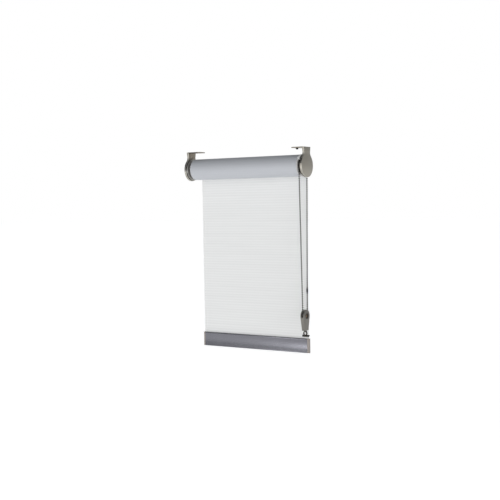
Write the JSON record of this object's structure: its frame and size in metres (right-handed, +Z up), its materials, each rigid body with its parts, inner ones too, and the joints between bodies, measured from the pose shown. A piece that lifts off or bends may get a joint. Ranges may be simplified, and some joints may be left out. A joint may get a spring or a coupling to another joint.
{
  "type": "roller blind",
  "caption": "Ceiling-fixed roller blind with a bead-chain clutch drive, white screen cloth on a tube, an aluminium hem bar and a sprung chain tensioner.",
  "frame": {"origin": "middle of the ceiling face of the two bracket flanges, straight above the axis of the roller", "axes": "+X along the roller towards the chain end, +Y towards the window (the cloth hangs on that side), +Z up"},
  "size_m": [0.3902, 0.0683, 0.574],
  "materials": {
    "bracket_steel": "satin nickel-plated steel, fine vertical brushing, brighter at cut edges",
    "cover_satin": "satin metal cap, fine brushing, soft sheen",
    "dark_screw": "black-oxide steel",
    "guard_grey": "grey moulded nylon, fine spark texture",
    "core_dark": "dark glass-filled nylon",
    "zinc": "zinc-plated steel",
    "spring_steel": "oiled spring steel",
    "black_plastic": "black acetal",
    "pin_steel": "polished steel",
    "disc_light": "light grey moulded plastic",
    "bush_white": "natural nylon",
    "tube_alu": "mill-finish extruded aluminium",
    "spline_pvc": "white PVC cord",
    "cloth_back": "silver-backed screen cloth, the side turned outwards on the roll",
    "cloth_face": "white woven screen cloth with fine horizontal ribs",
    "hem_alu": "blue-grey anodised extrusion, lengthwise die lines",
    "cap_grey": "warm grey moulded plastic",
    "chain_dark": "dark nickel beads",
    "clasp_dark": "dark burnished steel",
    "case_satin": "satin nickel-coloured case",
    "axle_bright": "bright steel",
    "link_dark": "dark bronze-black steel"
  },
  "bodies": {
    "root": {"left_bracket": "bracket_steel", "right_bracket": "bracket_steel", "left_cover": "cover_satin", "right_cover": "cover_satin", "levelling_screw": "dark_screw", "chain_guard": "guard_grey", "clutch_core": "core_dark", "clutch_screw": "zinc", "clutch_retainer": "spring_steel", "idler_disc": "disc_light", "bracket_bush": "bush_white", "cloth_panel": "cloth_face", "bead_chain": "chain_dark", "tensioner_outer_case": "case_satin", "tensioner_inner_case": "case_satin", "tensioner_axle": "axle_bright", "tensioner_case_screws": "zinc", "tensioner_spring": "spring_steel"},
    "roller": {"roller_tube": "tube_alu", "tube_spline": "spline_pvc", "cloth_roll": "cloth_back", "drive_crown": "guard_grey", "chain_wheel": "black_plastic", "clutch_springs": "spring_steel", "idler_housing": "guard_grey", "idler_cap": "black_plastic", "idler_spring": "spring_steel"},
    "idler_pin": {"idler_pin": "pin_steel"},
    "hem": {"hem_bar": "hem_alu", "hem_spline": "spline_pvc", "hem_cap_left": "cap_grey", "hem_cap_right": "cap_grey"},
    "clasp": {"chain_clasp": "clasp_dark"},
    "pulley": {"tensioner_pulley": "black_plastic"},
    "foot": {"tensioner_stem": "zinc", "tensioner_link": "link_dark", "link_rivet": "link_dark", "tensioner_foot": "link_dark", "foot_screws": "dark_screw"}
  },
  "joints": [
    {"name": "roller_turn", "type": "hinge", "parent": "root", "child": "roller", "pos_m": [0, 0, -0.051], "axis": [1, 0, 0], "range_deg": [0, 780], "deforming": ["bead_chain"]},
    {"name": "hem_lift", "type": "slide", "parent": "root", "child": "hem", "axis": [0, 0, 1], "range_m": [0, 0.42339], "deforming": ["cloth_panel"]},
    {"name": "clasp_travel", "type": "slide", "parent": "root", "child": "clasp", "axis": [0, 0.0239, 0.9997], "range_m": [0, 0.31201]},
    {"name": "pulley_turn", "type": "hinge", "parent": "root", "child": "pulley", "pos_m": [0.1815, 0, -0.46546], "axis": [1, 0, 0], "range_deg": [0, 1375.11]},
    {"name": "idler_pin_press", "type": "slide", "parent": "roller", "child": "idler_pin", "axis": [1, 0, 0], "range_m": [0, 0.009], "stiffness_N_per_m": 900, "springref_m": -0.006, "deforming": ["idler_spring"]},
    {"name": "stem_pull", "type": "slide", "parent": "root", "child": "foot", "axis": [0, 0, -1], "range_m": [0, 0.005], "stiffness_N_per_m": 1200, "springref_m": -0.005, "deforming": ["tensioner_spring"]}
  ],
  "couplings": [
    {"joint": "hem_lift", "follows": "roller_turn", "m_per_rad": 0.0311},
    {"joint": "clasp_travel", "follows": "roller_turn", "m_per_rad": 0.022918},
    {"joint": "pulley_turn", "follows": "roller_turn", "ratio": 1.7629}
  ]
}
